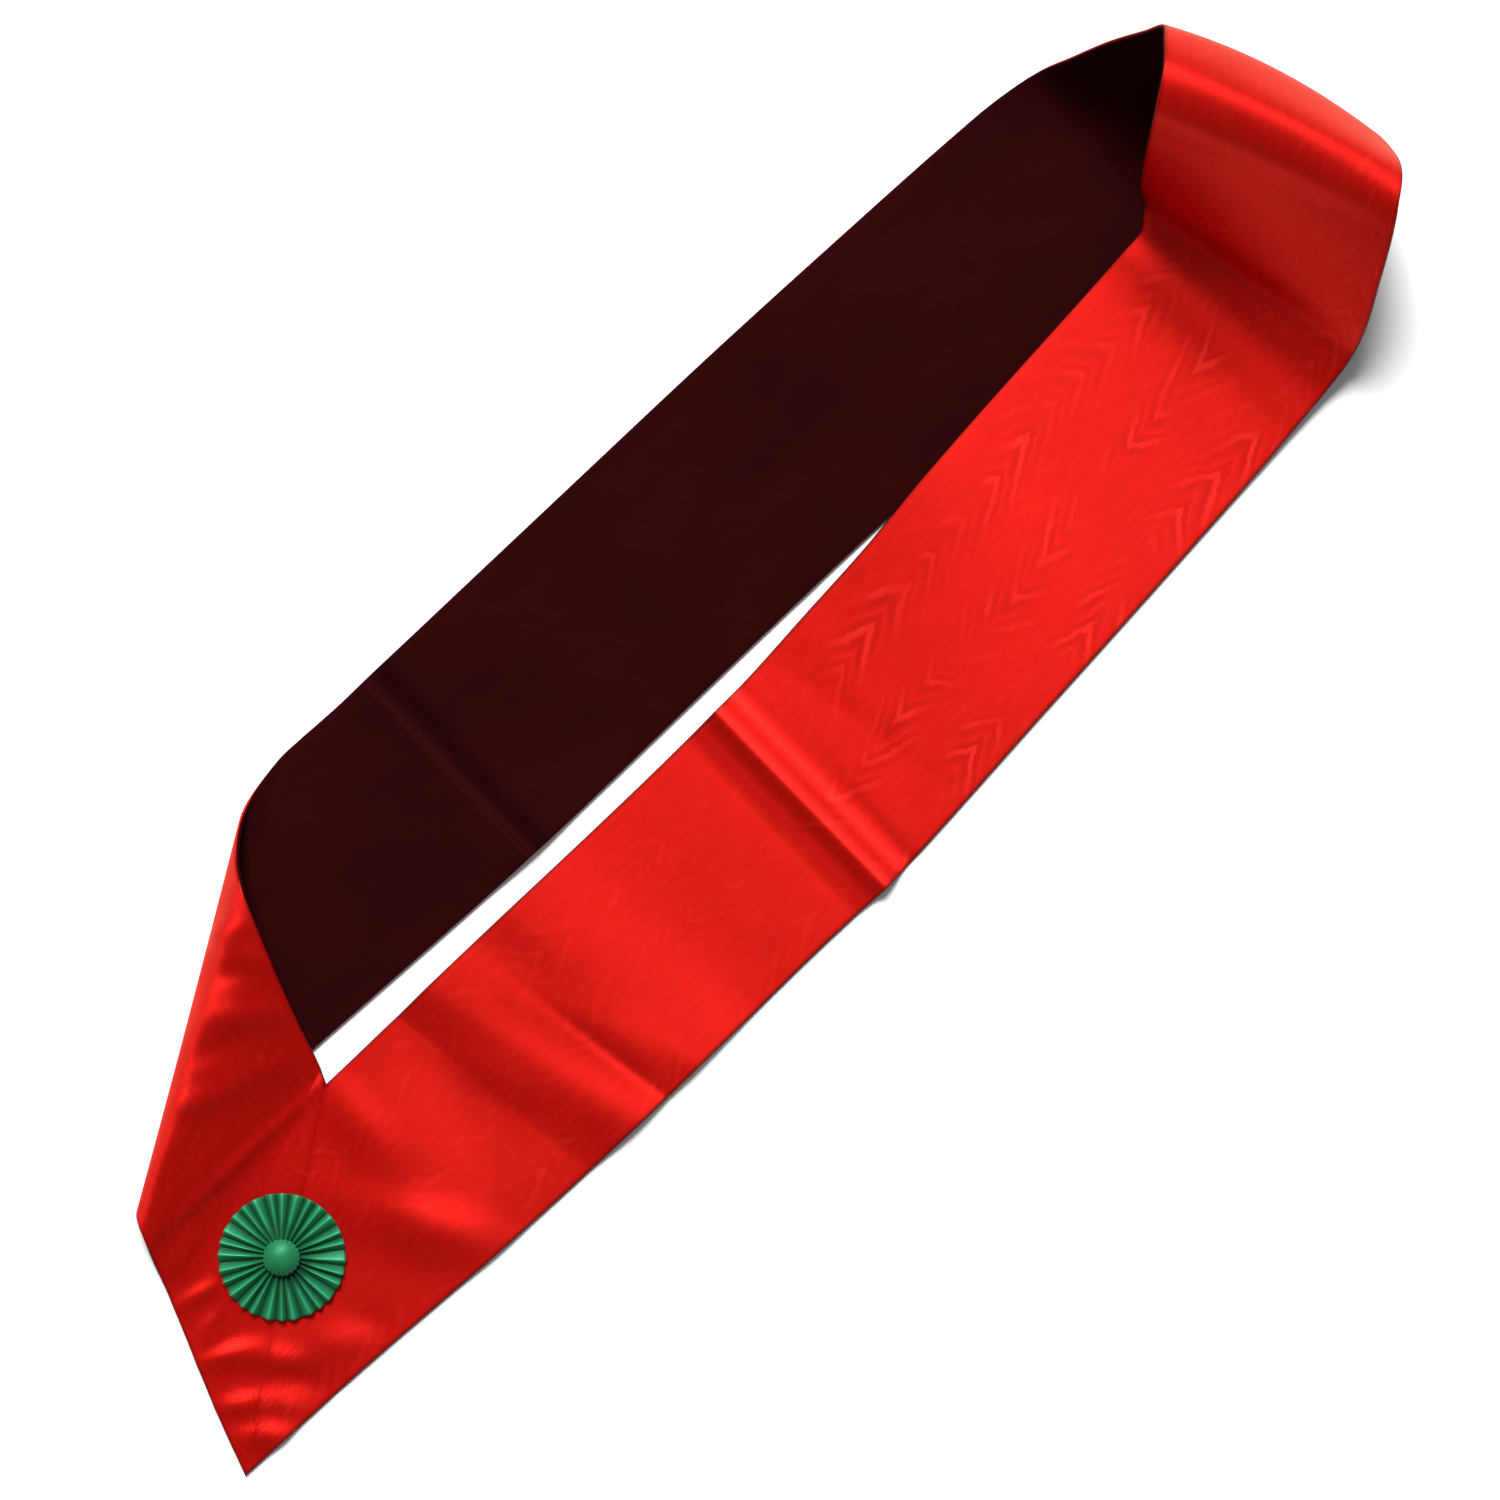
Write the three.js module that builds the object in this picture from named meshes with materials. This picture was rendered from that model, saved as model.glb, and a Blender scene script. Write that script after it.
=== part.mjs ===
import * as THREE from 'three';

// A shoulder sash of watered silk ribbon, lined with dark cloth, laid down in one loop on a table.
// The two ends of the ribbon meet in a mitred point, with a pleated rosette sewn over the seam.
// Millimetres, +Z up. The loop is drawn with the tip of the point at 0, 0 and its front band along +X,
// and is then moved so that the origin is under the middle of the whole sash.

// Cloth
const clothWall = 1.0;                    // the ribbon and the lining are each this thick
const clothGap = 0.3;                     // clearance between ribbon and lining
const restLift = clothGap / 2 + clothWall; // height of the middle of the two cloths when they lie flat
const facetsAcross = 4;

// Rosette
const rosetteRadius = 28.8;
const rosetteCentre = [79.6, 59.2];
const rosetteHole = 4.6;
const pleatCount = 28;
const pleatWall = 1.0;
const pleatRise = 3.0;                    // depth of a pleat at the rim
const pleatShoulder = 12;                 // radius where the pleats flatten towards the hole
const pleatRiseAtShoulder = 2.4;
const pleatRiseAtHole = 1.2;
const buttonRadius = 8.2;
const buttonHeight = 5.4;
const buttonBand = 1.6;                   // height of the button's upright side
const buttonSides = 28;
const seatGap = 0.3;                      // clearance between pieces that are sewn together

// Sections of the loop, one line of cloth each from the outer edge of the ribbon to its inner edge.
// Heights are measured above cloth that lies flat. bow is how far the middle of the line stands out
// on the silk side, and facets is the number of steps to the next section.
const sections = [
  { place: 'seam of the point',         facets: 1, outer: [-1.6, -0.6, 0],     inner: [148, 101.6, 0],     bow:  0 },
  { place: 'front band starts',         facets: 1, outer: [70, -2.8, 0],       inner: [168, 101.4, 0],     bow:  0 },
  { place: 'front band squares up',     facets: 1, outer: [150, -7.2, 0],      inner: [184, 101.3, 0],     bow:  0 },
  { place: 'foot of the soft crease',   facets: 2, outer: [206, -9.2, 0],      inner: [192, 101.2, 0],     bow:  0 },
  { place: 'crest of the soft crease',  facets: 2, outer: [237, -9.6, 3.4],    inner: [211, 101.4, 2.6],   bow:  0 },
  { place: 'valley of the soft crease', facets: 2, outer: [264, -9.6, 0.8],    inner: [243, 101.2, 1.2],   bow:  0 },
  { place: 'front band',                facets: 1, outer: [276, -9.5, 2],      inner: [262, 101, 1.6],     bow:  0 },
  { place: 'front band',                facets: 1, outer: [312, -9.4, 0.2],    inner: [308, 100.4, 0.2],   bow:  0 },
  { place: 'front band',                facets: 1, outer: [346, -9.2, 0],      inner: [346, 100.2, 0],     bow:  0 },
  { place: 'foot of storage fold',      facets: 2, outer: [372, -9.6, 0],      inner: [372, 100.4, 0],     bow:  0 },
  { place: 'storage fold',              facets: 2, outer: [389.6, -10.2, 4.4], inner: [389, 100.8, 4.4],   bow:  0 },
  { place: 'foot of storage fold',      facets: 1, outer: [408, -9.4, 0],      inner: [409, 101.2, 0.4],   bow:  0 },
  { place: 'front band',                facets: 2, outer: [450, -6.4, 0],      inner: [448, 104, 0.8],     bow:  0 },
  { place: 'nears the back band',       facets: 1, outer: [494, -3, 0],        inner: [490, 107, 2.4],     bow:  0 },
  { place: 'laps the back band',        facets: 1, outer: [536, 0, 0],         inner: [530, 111.6, 3.4],   bow:  0 },
  { place: 'laps the back band',        facets: 1, outer: [586, 3.8, 0],       inner: [579, 115.8, 3.4],   bow:  0 },
  { place: 'end of the front band',     facets: 2, outer: [640, 8.4, 0],       inner: [632, 119.6, 3.4],   bow:  0 },
  { place: 'run up to the roll',        facets: 2, outer: [668, 11.4, 1.4],    inner: [663, 122, 3.6],     bow:  0 },
  { place: 'run up to the roll',        facets: 2, outer: [690, 14, 5],        inner: [679.4, 123.8, 5.6], bow:  0 },
  { place: 'foot of the roll',          facets: 3, outer: [703.8, 16.6, 13],   inner: [686.4, 130.2, 14],  bow:  0 },
  { place: 'roll rises',                facets: 2, outer: [715.4, 22.2, 29],   inner: [686.4, 136.6, 35],  bow:  0 },
  { place: 'roll rises',                facets: 2, outer: [729.6, 32.6, 48],   inner: [689.6, 142, 58],    bow: -1 },
  { place: 'shoulder of the roll',      facets: 2, outer: [743.8, 43.4, 66],   inner: [696.4, 148.8, 82],  bow: -2 },
  { place: 'crest of the roll',         facets: 3, outer: [754, 52, 76],       inner: [705, 155.8, 99],    bow: -1 },
  { place: 'crest of the roll',         facets: 3, outer: [764.6, 60.2, 73],   inner: [717, 164.4, 101],   bow:  2 },
  { place: 'nose of the roll',          facets: 3, outer: [772.8, 70.2, 54],   inner: [727.4, 173.4, 92],  bow:  4 },
  { place: 'nose of the roll',          facets: 3, outer: [775.6, 86, 31],     inner: [733.4, 178.8, 79],  bow:  5 },
  { place: 'roll turns under',          facets: 3, outer: [764, 98, 11],       inner: [728.4, 183, 68],    bow:  4 },
  { place: 'roll turns under',          facets: 2, outer: [743, 101, 2.4],     inner: [717, 191.6, 51],    bow:  6 },
  { place: 'roll comes down',           facets: 3, outer: [717, 102, 0],       inner: [704, 199.6, 30],    bow:  8 },
  { place: 'roll comes down',           facets: 3, outer: [692, 103, 0],       inner: [692, 206.6, 12],    bow:  4 },
  { place: 'back band starts',          facets: 2, outer: [668, 104, 0],       inner: [671, 211, 2],       bow:  0 },
  { place: 'back band',                 facets: 1, outer: [640, 105, 0],       inner: [643, 213, 0],       bow:  0 },
  { place: 'back band',                 facets: 1, outer: [580, 107, 0],       inner: [582, 215.4, 0],     bow:  0 },
  { place: 'back band',                 facets: 2, outer: [500, 109.6, 0],     inner: [501, 217.8, 0],     bow:  0 },
  { place: 'back band',                 facets: 1, outer: [410, 110.4, 0],     inner: [411, 219, 0],       bow:  0 },
  { place: 'back band',                 facets: 1, outer: [318, 110.6, 0],     inner: [320, 220, 0],       bow:  0 },
  { place: 'crease in the lining',      facets: 2, outer: [288, 111, 1.6],     inner: [291, 220.2, 2],     bow:  0 },
  { place: 'back band',                 facets: 1, outer: [256, 112, 0],       inner: [270, 220.4, 0],     bow:  0 },
  { place: 'back band slants',          facets: 1, outer: [190, 115, 0],       inner: [256, 221, 0],       bow:  0 },
  { place: 'back band slants',          facets: 1, outer: [124, 118, 0],       inner: [246, 221.6, 0],     bow:  0 },
  { place: 'start of the turn',         facets: 3, outer: [70, 119.6, 0],      inner: [232, 221.6, 0.4],   bow:  0 },
  { place: 'turn rises',                facets: 3, outer: [53.4, 119.6, 1.4],  inner: [208.6, 216, 5],     bow:  0 },
  { place: 'nose of the turn',          facets: 3, outer: [46.2, 117.6, 4.4],  inner: [192.6, 203, 15],    bow:  0 },
  { place: 'top of the turn',           facets: 3, outer: [42.8, 111.6, 8],    inner: [185, 190, 25],      bow:  0 },
  { place: 'turn falls',                facets: 2, outer: [39.8, 105, 7.2],    inner: [178.6, 175, 26],    bow:  0 },
  { place: 'turn falls',                facets: 2, outer: [35.6, 96, 3.4],     inner: [168, 151, 19],      bow:  0 },
  { place: 'crease by the back band',   facets: 2, outer: [31.6, 86, 0.6],     inner: [158, 127, 8.4],     bow:  0 },
  { place: 'left side of the point',    facets: 2, outer: [28.4, 78, 0],       inner: [153, 114, 2.2],     bow:  0 },
  { place: 'left side of the point',    facets: 1, outer: [21.2, 60, 0],       inner: [150.6, 108, 0],     bow:  0 },
  { place: 'left side of the point',    facets: 1, outer: [9.6, 31, 0],        inner: [149.2, 104.6, 0],   bow:  0 },
  { place: 'seam of the point',         facets: 0, outer: [-1.6, -0.6, 0],     inner: [148, 101.6, 0],     bow:  0 },
];

// Lengths of cloth between two sections. Each is a silk and a lining of its own, and neighbours meet
// end to end, at the mitred seam and along four lines of the cloth.
const lengths = [
  { name: 'front', from: 0,  to: 10 },
  { name: 'lap',   from: 10, to: 17 },
  { name: 'roll',  from: 17, to: 31 },
  { name: 'back',  from: 31, to: 41 },
  { name: 'turn',  from: 41, to: 51 },
];

const stretches = sections.length - 1;
const outerPoints = sections.map((section) => new THREE.Vector3(...section.outer));
const innerPoints = sections.map((section) => new THREE.Vector3(...section.inner));

// Middle of each section line, stood out by its bow square to the line and to the run of the cloth.
const middlePoints = sections.map((section, row) => {
  const before = Math.max(row - 1, 0);
  const after = Math.min(row + 1, stretches);
  const run = outerPoints[after].clone().add(innerPoints[after])
    .sub(outerPoints[before]).sub(innerPoints[before]);
  const line = innerPoints[row].clone().sub(outerPoints[row]);
  const middle = outerPoints[row].clone().add(innerPoints[row]).multiplyScalar(0.5);
  return middle.addScaledVector(run.cross(line).normalize(), section.bow);
});

const edgeCurve = (points) => new THREE.CatmullRomCurve3(points, false, 'centripetal');
const outerCurve = edgeCurve(outerPoints);
const middleCurve = edgeCurve(middlePoints);
const innerCurve = edgeCurve(innerPoints);

// Places from one section to another where the cloth has a row of corners. The whole loop runs from
// place 0 at the seam to place 1 back at the seam.
function rowPlaces(from, to) {
  const places = [];
  sections.slice(from, to).forEach((section, row) => {
    for (let step = 0; step < section.facets; step += 1) {
      places.push((from + row + step / section.facets) / stretches);
    }
  });
  places.push(to / stretches);
  return places;
}

// Point on the surface between ribbon and lining: across the cloth it is the parabola through the
// outer curve, the middle curve and the inner curve.
function clothPoint(place, across) {
  const point = new THREE.Vector3()
    .addScaledVector(outerCurve.getPoint(place), (1 - across) * (1 - 2 * across))
    .addScaledVector(middleCurve.getPoint(place), 4 * across * (1 - across))
    .addScaledVector(innerCurve.getPoint(place), across * (2 * across - 1));
  point.z = Math.max(point.z, 0) + restLift;
  return point;
}

// Directions there: run is along the ribbon, and silk is what the silk side faces. The two ends of
// the loop share one silk direction.
function clothDirections(place, across) {
  const alongNudge = 0.02 / stretches;
  const acrossNudge = 0.02;
  const run = (at) => clothPoint(Math.min(at + alongNudge, 1), across)
    .sub(clothPoint(Math.max(at - alongNudge, 0), across)).normalize();
  const facing = (at) => {
    const inward = clothPoint(at, Math.min(across + acrossNudge, 1))
      .sub(clothPoint(at, Math.max(across - acrossNudge, 0)));
    return run(at).cross(inward).normalize();
  };
  const atSeam = place === 0 || place === 1;
  const silk = atSeam ? facing(0).add(facing(1)).normalize() : facing(place);
  return { run: run(place), silk };
}

// Closed body from two grids of points that face each other. A ring joins its last row to its first,
// and a strip has a flat end at both.
function wallBody(rows, columns, isRing, topPoint, bottomPoint) {
  const positions = [];
  const faces = [];
  const corner = (row, column, side) => ((row % rows) * columns + column) * 2 + side;
  const quad = (a, b, c, d) => faces.push(a, b, c, a, c, d);
  const last = columns - 1;
  for (let row = 0; row < rows; row += 1) {
    for (let column = 0; column < columns; column += 1) {
      positions.push(...topPoint(row, column).toArray(), ...bottomPoint(row, column).toArray());
    }
  }
  for (let row = 0; row < (isRing ? rows : rows - 1); row += 1) {
    for (let column = 0; column < last; column += 1) {
      quad(corner(row, column, 0), corner(row + 1, column, 0),
        corner(row + 1, column + 1, 0), corner(row, column + 1, 0));
      quad(corner(row, column, 1), corner(row, column + 1, 1),
        corner(row + 1, column + 1, 1), corner(row + 1, column, 1));
    }
    quad(corner(row, 0, 1), corner(row + 1, 0, 1), corner(row + 1, 0, 0), corner(row, 0, 0));
    quad(corner(row, last, 0), corner(row + 1, last, 0), corner(row + 1, last, 1), corner(row, last, 1));
  }
  for (let column = 0; !isRing && column < last; column += 1) {
    quad(corner(0, column, 1), corner(0, column, 0), corner(0, column + 1, 0), corner(0, column + 1, 1));
    quad(corner(rows - 1, column, 0), corner(rows - 1, column, 1),
      corner(rows - 1, column + 1, 1), corner(rows - 1, column + 1, 0));
  }
  const geometry = new THREE.BufferGeometry();
  geometry.setAttribute('position', new THREE.Float32BufferAttribute(positions, 3));
  geometry.setIndex(faces);
  geometry.computeVertexNormals();
  return geometry;
}

// One of the two cloths over one length, between two distances from the middle surface. Its end rows
// stand back from the ends of the length by half a seat gap.
function clothBody({ from, to }, nearSilk, nearLining) {
  const places = rowPlaces(from, to);
  const offsetPoint = (offset) => (row, column) => {
    const across = column / facetsAcross;
    const { run, silk } = clothDirections(places[row], across);
    const setBack = (row === 0 ? seatGap / 2 : 0) - (row === places.length - 1 ? seatGap / 2 : 0);
    return clothPoint(places[row], across).addScaledVector(silk, offset).addScaledVector(run, setBack);
  };
  return wallBody(places.length, facetsAcross + 1, false, offsetPoint(nearSilk), offsetPoint(nearLining));
}

// Pleated wall: ridges and valleys alternate round the disc, shallow at the hole and full at the rim.
function pleatBody() {
  const rings = [
    { radius: rosetteRadius, rise: pleatRise },
    { radius: pleatShoulder, rise: pleatRiseAtShoulder },
    { radius: rosetteHole, rise: pleatRiseAtHole },
  ];
  const foldPoint = (lift) => (fold, column) => {
    const angle = (fold / pleatCount) * Math.PI;
    const { radius, rise } = rings[column];
    const height = fold % 2 === 0 ? rise : 0;
    return new THREE.Vector3(radius * Math.cos(angle), radius * Math.sin(angle), height + lift);
  };
  return wallBody(pleatCount * 2, rings.length, true, foldPoint(pleatWall), foldPoint(0));
}

// Covered button: flat back, short upright side, domed top.
function buttonBody() {
  const dome = buttonHeight - buttonBand;
  const profile = [new THREE.Vector2(0, 0), new THREE.Vector2(buttonRadius, 0)];
  const domeSteps = 5;
  for (let step = 0; step <= domeSteps; step += 1) {
    const lean = (step / domeSteps) * (Math.PI / 2);
    const radius = step === domeSteps ? 0 : buttonRadius * Math.cos(lean);
    profile.push(new THREE.Vector2(radius, buttonBand + dome * Math.sin(lean)));
  }
  return new THREE.LatheGeometry(profile, buttonSides).rotateX(Math.PI / 2);
}

function piece(name, geometry, color, roughness) {
  const material = new THREE.MeshStandardMaterial({ color, roughness, metalness: 0 });
  const mesh = new THREE.Mesh(geometry, material);
  mesh.name = name;
  return mesh;
}

const cloths = lengths.flatMap((length) => [
  piece(`silk_${length.name}`, clothBody(length, restLift, clothGap / 2), 0xd81f14, 0.45),
  piece(`lining_${length.name}`, clothBody(length, -clothGap / 2, -restLift), 0x2a0507, 0.9),
]);

const pleats = piece('rosette_pleats', pleatBody(), 0x1d6b41, 0.55);
const pleatSeat = 2 * restLift + seatGap;
pleats.position.set(...rosetteCentre, pleatSeat);

const riseUnderButton = THREE.MathUtils.mapLinear(
  buttonRadius, rosetteHole, pleatShoulder, pleatRiseAtHole, pleatRiseAtShoulder);
const button = piece('rosette_button', buttonBody(), 0x2a8f5a, 0.5);
button.position.set(...rosetteCentre, pleatSeat + riseUnderButton + pleatWall + seatGap);

const sash = new THREE.Group();
sash.add(...cloths, pleats, button);

const outline = new THREE.Box3().setFromObject(sash);
const middle = outline.getCenter(new THREE.Vector3());
sash.position.set(-middle.x, -middle.y, 0);

export default sash;
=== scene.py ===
import math

import bpy
import numpy as np
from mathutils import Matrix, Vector


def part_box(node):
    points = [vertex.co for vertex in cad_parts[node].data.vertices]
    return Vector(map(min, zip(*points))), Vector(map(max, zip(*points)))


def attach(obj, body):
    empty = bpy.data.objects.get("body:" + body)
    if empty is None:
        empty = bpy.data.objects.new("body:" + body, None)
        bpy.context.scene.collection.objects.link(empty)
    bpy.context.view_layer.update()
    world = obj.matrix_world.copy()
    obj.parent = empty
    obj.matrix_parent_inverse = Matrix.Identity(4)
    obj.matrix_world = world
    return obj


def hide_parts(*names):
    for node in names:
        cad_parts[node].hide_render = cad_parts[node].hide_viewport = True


# A shoulder sash of red watered silk with a dark lining and a green pleated rosette, laid on a table.
# Lengths in the tables are millimetres, drawn with the tip of the point at 0, 0 and the front band
# along +X. Everything is turned into metres and moved under the middle of the sash when it is built.

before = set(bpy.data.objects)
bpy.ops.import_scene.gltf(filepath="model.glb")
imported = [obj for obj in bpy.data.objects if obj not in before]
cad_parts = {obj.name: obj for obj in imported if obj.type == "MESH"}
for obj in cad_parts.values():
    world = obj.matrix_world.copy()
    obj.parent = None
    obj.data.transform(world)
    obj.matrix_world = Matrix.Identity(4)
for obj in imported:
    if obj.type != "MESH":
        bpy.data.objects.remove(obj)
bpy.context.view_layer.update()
mm = 0.001

rosetteCentre = np.array([79.6, 59.2])
buttonLow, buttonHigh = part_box("rosette_button")
moveBy = np.array([(buttonLow.x + buttonHigh.x) / 2 / mm - rosetteCentre[0],
                   (buttonLow.y + buttonHigh.y) / 2 / mm - rosetteCentre[1], 0.0])


def tableToRow(points):
    # drawn millimetres to the row frame in metres
    return (np.asarray(points, float) + moveBy) * mm


# camera straight above the table, turned so that the band runs from lower left to upper right

cameraView = {
    "height": 1800.0,          # above the table
    "aim": (389.4, 77.3),      # the point of the table in the middle of the picture
    "pictureWidth": 676.2,     # how much of the table fits across
    "turn": -43.95,            # degrees about the line of sight
    "sensor": 36.0,
    "clip": (0.05, 20.0),      # metres
}

cameraData = bpy.data.cameras.new("photoCamera")
cameraData.sensor_width = cameraView["sensor"]
cameraData.lens = cameraView["sensor"] * cameraView["height"] / cameraView["pictureWidth"]
cameraData.clip_start, cameraData.clip_end = cameraView["clip"]
camera = bpy.data.objects.new("photoCamera", cameraData)
bpy.context.scene.collection.objects.link(camera)
camera.location = tableToRow((*cameraView["aim"], cameraView["height"]))
camera.rotation_euler = (0, 0, math.radians(cameraView["turn"]))
bpy.context.scene.camera = camera
print("camera placed")


# small helpers for shader nodes

def setSocket(tree, socket, value):
    # a value is a number, a color or the output of another node
    if isinstance(value, bpy.types.NodeSocket):
        tree.links.new(value, socket)
    else:
        socket.default_value = value


def addNode(tree, kind, inputs=None, **settings):
    node = tree.nodes.new(kind)
    for name, value in settings.items():
        setattr(node, name, value)
    for name, value in (inputs or {}).items():
        setSocket(tree, node.inputs[name], value)
    return node


def calc(tree, operation, a, b=0.0, c=0.0, clamp=False):
    node = addNode(tree, "ShaderNodeMath", {0: a, 1: b, 2: c}, operation=operation)
    node.use_clamp = clamp
    return node.outputs[0]


def softStep(tree, value, low, high):
    return addNode(tree, "ShaderNodeMapRange", {"Value": value, "From Min": low, "From Max": high},
                   interpolation_type="SMOOTHSTEP").outputs["Result"]


def mixColor(tree, factor, a, b, blend="MIX"):
    # the sockets have numbers here, because the node has several of each name
    return addNode(tree, "ShaderNodeMix", {0: factor, 6: a, 7: b}, data_type="RGBA",
                   blend_type=blend).outputs[2]


def newGroup(name, inputs, outputs):
    # a group of shader nodes whose sockets are all single numbers; inputs come with their first values
    tree = bpy.data.node_groups.new(name, "ShaderNodeTree")
    for label, value in inputs.items():
        socket = tree.interface.new_socket(label, in_out="INPUT", socket_type="NodeSocketFloat")
        socket.default_value = value
    for label in outputs:
        tree.interface.new_socket(label, in_out="OUTPUT", socket_type="NodeSocketFloat")
    return tree, tree.nodes.new("NodeGroupInput").outputs, tree.nodes.new("NodeGroupOutput").inputs


def useGroup(tree, group, inputs):
    return addNode(tree, "ShaderNodeGroup", inputs, node_tree=group).outputs


def newMaterial(name, **shaderValues):
    # a material with its shader; values that are the same all over are set on the shader itself
    material = bpy.data.materials.new(name)
    material.use_nodes = True
    tree = material.node_tree
    tree.nodes.clear()
    shader = addNode(tree, "ShaderNodeBsdfPrincipled", shaderValues)
    addNode(tree, "ShaderNodeOutputMaterial", {"Surface": shader.outputs[0]})
    return material, tree, shader


def clothPlace(tree):
    # metres along and across the cloth, from the piece's own map
    place = addNode(tree, "ShaderNodeUVMap", uv_map="clothMap").outputs["UV"]
    parts = addNode(tree, "ShaderNodeSeparateXYZ", {"Vector": place})
    return parts.outputs["X"], parts.outputs["Y"]


def joined(tree, x, y, z):
    return addNode(tree, "ShaderNodeCombineXYZ", {"X": x, "Y": y, "Z": z}).outputs[0]


def cloudOver(tree, along, across, perAlong, perAcross, seed=0.0, detail=1.0):
    # a noise over the cloth, stretched to so many turns for each metre; the seed picks another one
    place = joined(tree, calc(tree, "MULTIPLY", along, perAlong),
                   calc(tree, "MULTIPLY", across, perAcross), seed)
    return addNode(tree, "ShaderNodeTexNoise", {"Vector": place, "Scale": 1.0, "Detail": detail,
                                               "Roughness": 0.5}).outputs["Fac"]


# woven threads: one set of ribs across the cloth and one along it, crossing; slubs are thick places

threadPattern = {
    "slubsAlong": 1500.0, "slubsAcross": 60.0,     # for each metre
    "ribHalf": 0.5, "warpHalf": 0.18,              # half the height of a rib and of a warp thread
}


def buildWeave(pattern):
    # height = ribHalf (1 + sin of the rib turn) + warpHalf (1 + sin of the warp turn)
    tree, given, made = newGroup("wovenThreads", {
        "Along": 0.0, "Across": 0.0, "Rib Pitch": 0.0006, "Warp Pitch": 0.0003, "Unevenness": 0.3},
        ("Height", "Slub"))
    along, across = given["Along"], given["Across"]
    slub = cloudOver(tree, along, across, pattern["slubsAlong"], pattern["slubsAcross"], detail=2.0)
    bend = calc(tree, "MULTIPLY", calc(tree, "SUBTRACT", slub, 0.5), given["Unevenness"])
    ribs = calc(tree, "ADD", calc(tree, "DIVIDE", along, given["Rib Pitch"]), bend)
    warps = calc(tree, "DIVIDE", across, given["Warp Pitch"])

    def wave(count, half):
        turn = calc(tree, "MULTIPLY", count, math.tau)
        return calc(tree, "MULTIPLY_ADD", calc(tree, "SINE", turn), half, half)

    height = calc(tree, "ADD", wave(ribs, pattern["ribHalf"]), wave(warps, pattern["warpHalf"]))
    tree.links.new(height, made["Height"])
    tree.links.new(slub, made["Slub"])
    return tree


# pressed water marks: nested arrowheads along three lines of the ribbon, in turn towards its two ends,
# that fade out between the lines; noise moves them aside, and they are clear only between the storage
# fold and the roll

waterMarks = {
    "swayBy": 0.024, "stepBy": 0.0030, "driftBy": 0.05,      # metres that each noise moves the marks
    "lineFade": (0.05, 0.85), "patchFade": (-0.13, 0.16),    # near a line of points, and in patches
    "clearFrom": (0.37, 0.44), "clearTo": (0.74, 0.64),      # metres along the ribbon
    "faint": 0.40, "clear": 0.85,                            # strength all over, and added where clear
    "lineEdge": 0.7, "lineLight": 0.95, "lineDark": 0.45,    # how soft, light and dark each line is
    "groupShare": 0.3, "gap": (0.1, -0.8), "gapDark": 0.26,  # two lines to a group, darker between groups
    "grain": 0.7, "patchTone": 0.6,
}

# noises of the water marks: turns for each metre along and across, seed and detail
markNoises = {
    "sway": (9.0, 7.0, 3.0, 1.0),
    "steps": (300.0, 90.0, 7.0, 1.0),
    "drift": (16.0, 13.0, 11.0, 2.0),
    "patches": (30.0, 40.0, 15.0, 2.0),
    "grain": (75.0, 330.0, 19.0, 3.0),
}


def buildWaterMarks(marks):
    # turn = (along - arm times reach) / spacing, where arm runs from 0 to 1 and back between two lines;
    # two lines of light stand in each turn
    tree, given, made = newGroup("waterMarks", {
        "Along": 0.0, "Across": 0.0, "Spacing": 0.021, "Reach": 0.062, "Column": 0.037,
        "First Line": 0.012}, ("Mark", "Tone"))
    along, across, column = given["Along"], given["Across"], given["Column"]
    cloud = {name: calc(tree, "SUBTRACT", cloudOver(tree, along, across, *row), 0.5)
             for name, row in markNoises.items()}

    side = calc(tree, "MULTIPLY_ADD", cloud["sway"], marks["swayBy"], across)
    side = calc(tree, "MULTIPLY_ADD", cloud["steps"], marks["stepBy"], side)
    side = calc(tree, "ADD", side, calc(tree, "SUBTRACT", column, given["First Line"]))
    arm = calc(tree, "DIVIDE", calc(tree, "PINGPONG", side, column), column)
    turn = calc(tree, "SUBTRACT", along, calc(tree, "MULTIPLY", arm, given["Reach"]))
    turn = calc(tree, "MULTIPLY_ADD", cloud["drift"], marks["driftBy"], turn)
    turn = calc(tree, "DIVIDE", turn, given["Spacing"])
    wide = calc(tree, "SINE", calc(tree, "MULTIPLY", turn, math.tau))
    narrow = calc(tree, "SINE", calc(tree, "MULTIPLY", turn, 2 * math.tau))
    lines = softStep(tree, narrow, -marks["lineEdge"], marks["lineEdge"])

    nearLine = calc(tree, "ABSOLUTE", calc(tree, "MULTIPLY_ADD", arm, 2.0, -1.0))
    strength = calc(tree, "MULTIPLY", softStep(tree, nearLine, *marks["lineFade"]),
                    softStep(tree, cloud["patches"], *marks["patchFade"]))
    clear = calc(tree, "MULTIPLY", softStep(tree, along, *marks["clearFrom"]),
                 softStep(tree, along, *marks["clearTo"]))
    strength = calc(tree, "MULTIPLY", strength,
                    calc(tree, "MULTIPLY_ADD", clear, marks["clear"], marks["faint"]))

    group = calc(tree, "MULTIPLY_ADD", wide, marks["groupShare"], 1 - marks["groupShare"])
    mark = calc(tree, "MULTIPLY_ADD", lines, marks["lineLight"], -marks["lineDark"])
    mark = calc(tree, "MULTIPLY", mark, group)
    gap = calc(tree, "MULTIPLY", softStep(tree, wide, *marks["gap"]), marks["gapDark"])
    mark = calc(tree, "MULTIPLY", calc(tree, "SUBTRACT", mark, gap), strength)
    mark = calc(tree, "MULTIPLY_ADD", cloud["grain"], marks["grain"], mark)
    tone = calc(tree, "ADD", cloud["sway"], calc(tree, "MULTIPLY", cloud["patches"], marks["patchTone"]))
    tree.links.new(mark, made["Mark"])
    tree.links.new(tone, made["Tone"])
    return tree


weaveGroup = buildWeave(threadPattern)
waterGroup = buildWaterMarks(waterMarks)


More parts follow.
